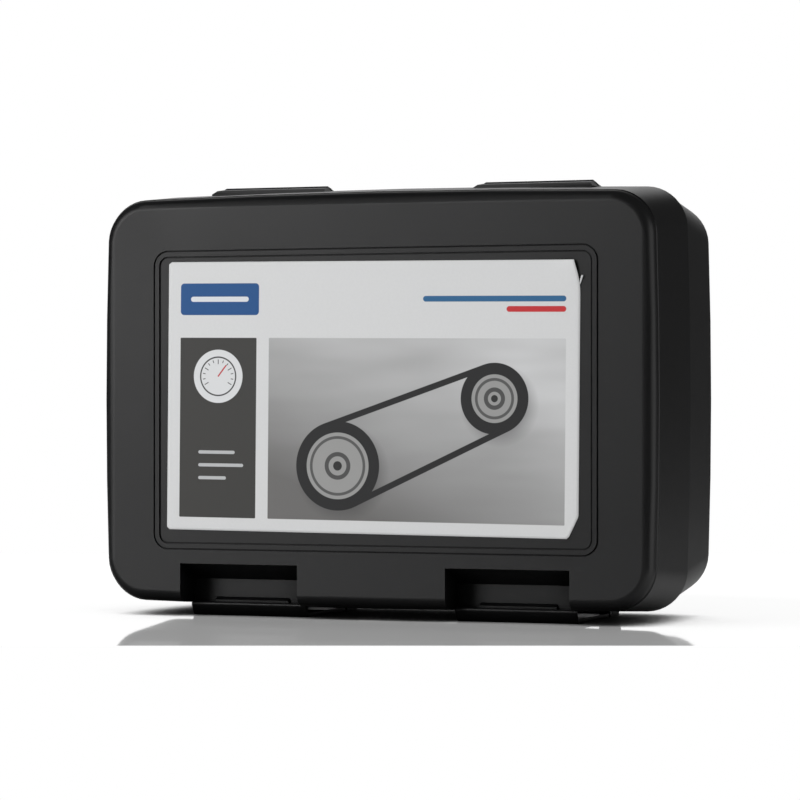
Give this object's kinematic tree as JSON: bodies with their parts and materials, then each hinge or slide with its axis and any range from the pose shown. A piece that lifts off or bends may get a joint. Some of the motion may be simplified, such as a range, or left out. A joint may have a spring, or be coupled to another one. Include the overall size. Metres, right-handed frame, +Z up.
{
  "type": "belt tension tester in a moulded carrying case",
  "caption": "Hinged black moulded carrying case with a framed label and snap latches, holding a hand-held belt tension tester with its measuring head in foam.",
  "frame": {"origin": "on the standing surface under the middle of the closed case", "axes": "+X to the right seen from the lid, +Y from the lid towards the base, +Z up from the latches to the hinges"},
  "size_m": [0.2548, 0.094, 0.1863],
  "materials": {
    "case_black": "fine-textured moulded black plastic with a soft sheen",
    "latch_black": "moulded black plastic, slightly smoother than the case",
    "pin_steel": "drawn steel wire",
    "label_print": "printed film, satin",
    "foam_grey": "closed-cell foam",
    "tester_front": "fine-textured moulded plastic",
    "tester_back": "fine-textured moulded plastic",
    "bezel_silver": "satin silver",
    "window_clear": "clear polished window",
    "display": "display panel behind the window",
    "board": "solder-masked circuit board",
    "keypad_rubber": "moulded silicone mat",
    "key_red": "moulded key cap",
    "key_grey": "moulded key cap",
    "key_green": "moulded key cap",
    "battery": "shrink-sleeved dry cell",
    "contact_metal": "plated spring steel",
    "screw_steel": "zinc-plated steel",
    "socket_grey": "moulded connector body",
    "head_black": "black anodised tube",
    "nose_metal": "turned aluminium",
    "lens_red": "tinted filter lens",
    "emitter_clear": "moulded clear emitter",
    "grip_rubber": "ribbed rubber sleeve",
    "gland_rubber": "moulded cable gland"
  },
  "bodies": {
    "base": {"base_shell": "case_black", "base_foam": "foam_grey", "hinge_pin_left": "pin_steel", "hinge_pin_right": "pin_steel", "latch_pin_left": "pin_steel", "latch_pin_right": "pin_steel", "tester_front_shell": "tester_front", "tester_back_shell": "tester_back", "tester_bezel": "bezel_silver", "tester_display_window": "window_clear", "tester_display_panel": "display", "tester_circuit_board": "board", "tester_keypad_mat": "keypad_rubber", "tester_batteries": "battery", "tester_battery_contacts": "contact_metal", "tester_screws": "screw_steel", "tester_probe_socket": "socket_grey", "head_tube": "head_black", "head_nose_ring": "nose_metal", "head_lens": "lens_red", "head_emitters": "emitter_clear", "head_circuit_board": "board", "head_grip_sleeve": "grip_rubber", "head_cable_gland": "gland_rubber"},
    "lid": {"lid_shell": "case_black", "label": "label_print", "lid_foam": "foam_grey"},
    "latch_left": {"latch_left": "latch_black"},
    "latch_right": {"latch_right": "latch_black"},
    "key_power": {"tester_key_power": "key_red"},
    "key_up": {"tester_key_up": "key_grey"},
    "key_down": {"tester_key_down": "key_grey"},
    "key_enter": {"tester_key_enter": "key_green"},
    "battery_door": {"tester_battery_door": "tester_back"}
  },
  "joints": [
    {"name": "lid_hinge", "type": "hinge", "parent": "base", "child": "lid", "pos_m": [0, -0.0045, 0.1844], "axis": [-1, 0, 0], "range_deg": [0, 110]},
    {"name": "latch_left_hinge", "type": "hinge", "parent": "base", "child": "latch_left", "pos_m": [-0.0607, 0.0125, 0.0019], "axis": [1, 0, 0], "range_deg": [0, 110]},
    {"name": "latch_right_hinge", "type": "hinge", "parent": "base", "child": "latch_right", "pos_m": [0.0607, 0.0125, 0.0019], "axis": [1, 0, 0], "range_deg": [0, 110]},
    {"name": "key_power_press", "type": "slide", "parent": "base", "child": "key_power", "axis": [0, 1, 0], "range_m": [0, 0.0007], "stiffness_N_per_m": 400},
    {"name": "key_up_press", "type": "slide", "parent": "base", "child": "key_up", "axis": [0, 1, 0], "range_m": [0, 0.0007], "stiffness_N_per_m": 400},
    {"name": "key_down_press", "type": "slide", "parent": "base", "child": "key_down", "axis": [0, 1, 0], "range_m": [0, 0.0007], "stiffness_N_per_m": 400},
    {"name": "key_enter_press", "type": "slide", "parent": "base", "child": "key_enter", "axis": [0, 1, 0], "range_m": [0, 0.0007], "stiffness_N_per_m": 400},
    {"name": "battery_door_slide", "type": "slide", "parent": "base", "child": "battery_door", "axis": [0, 0, -1], "range_m": [0, 0.006]}
  ]
}
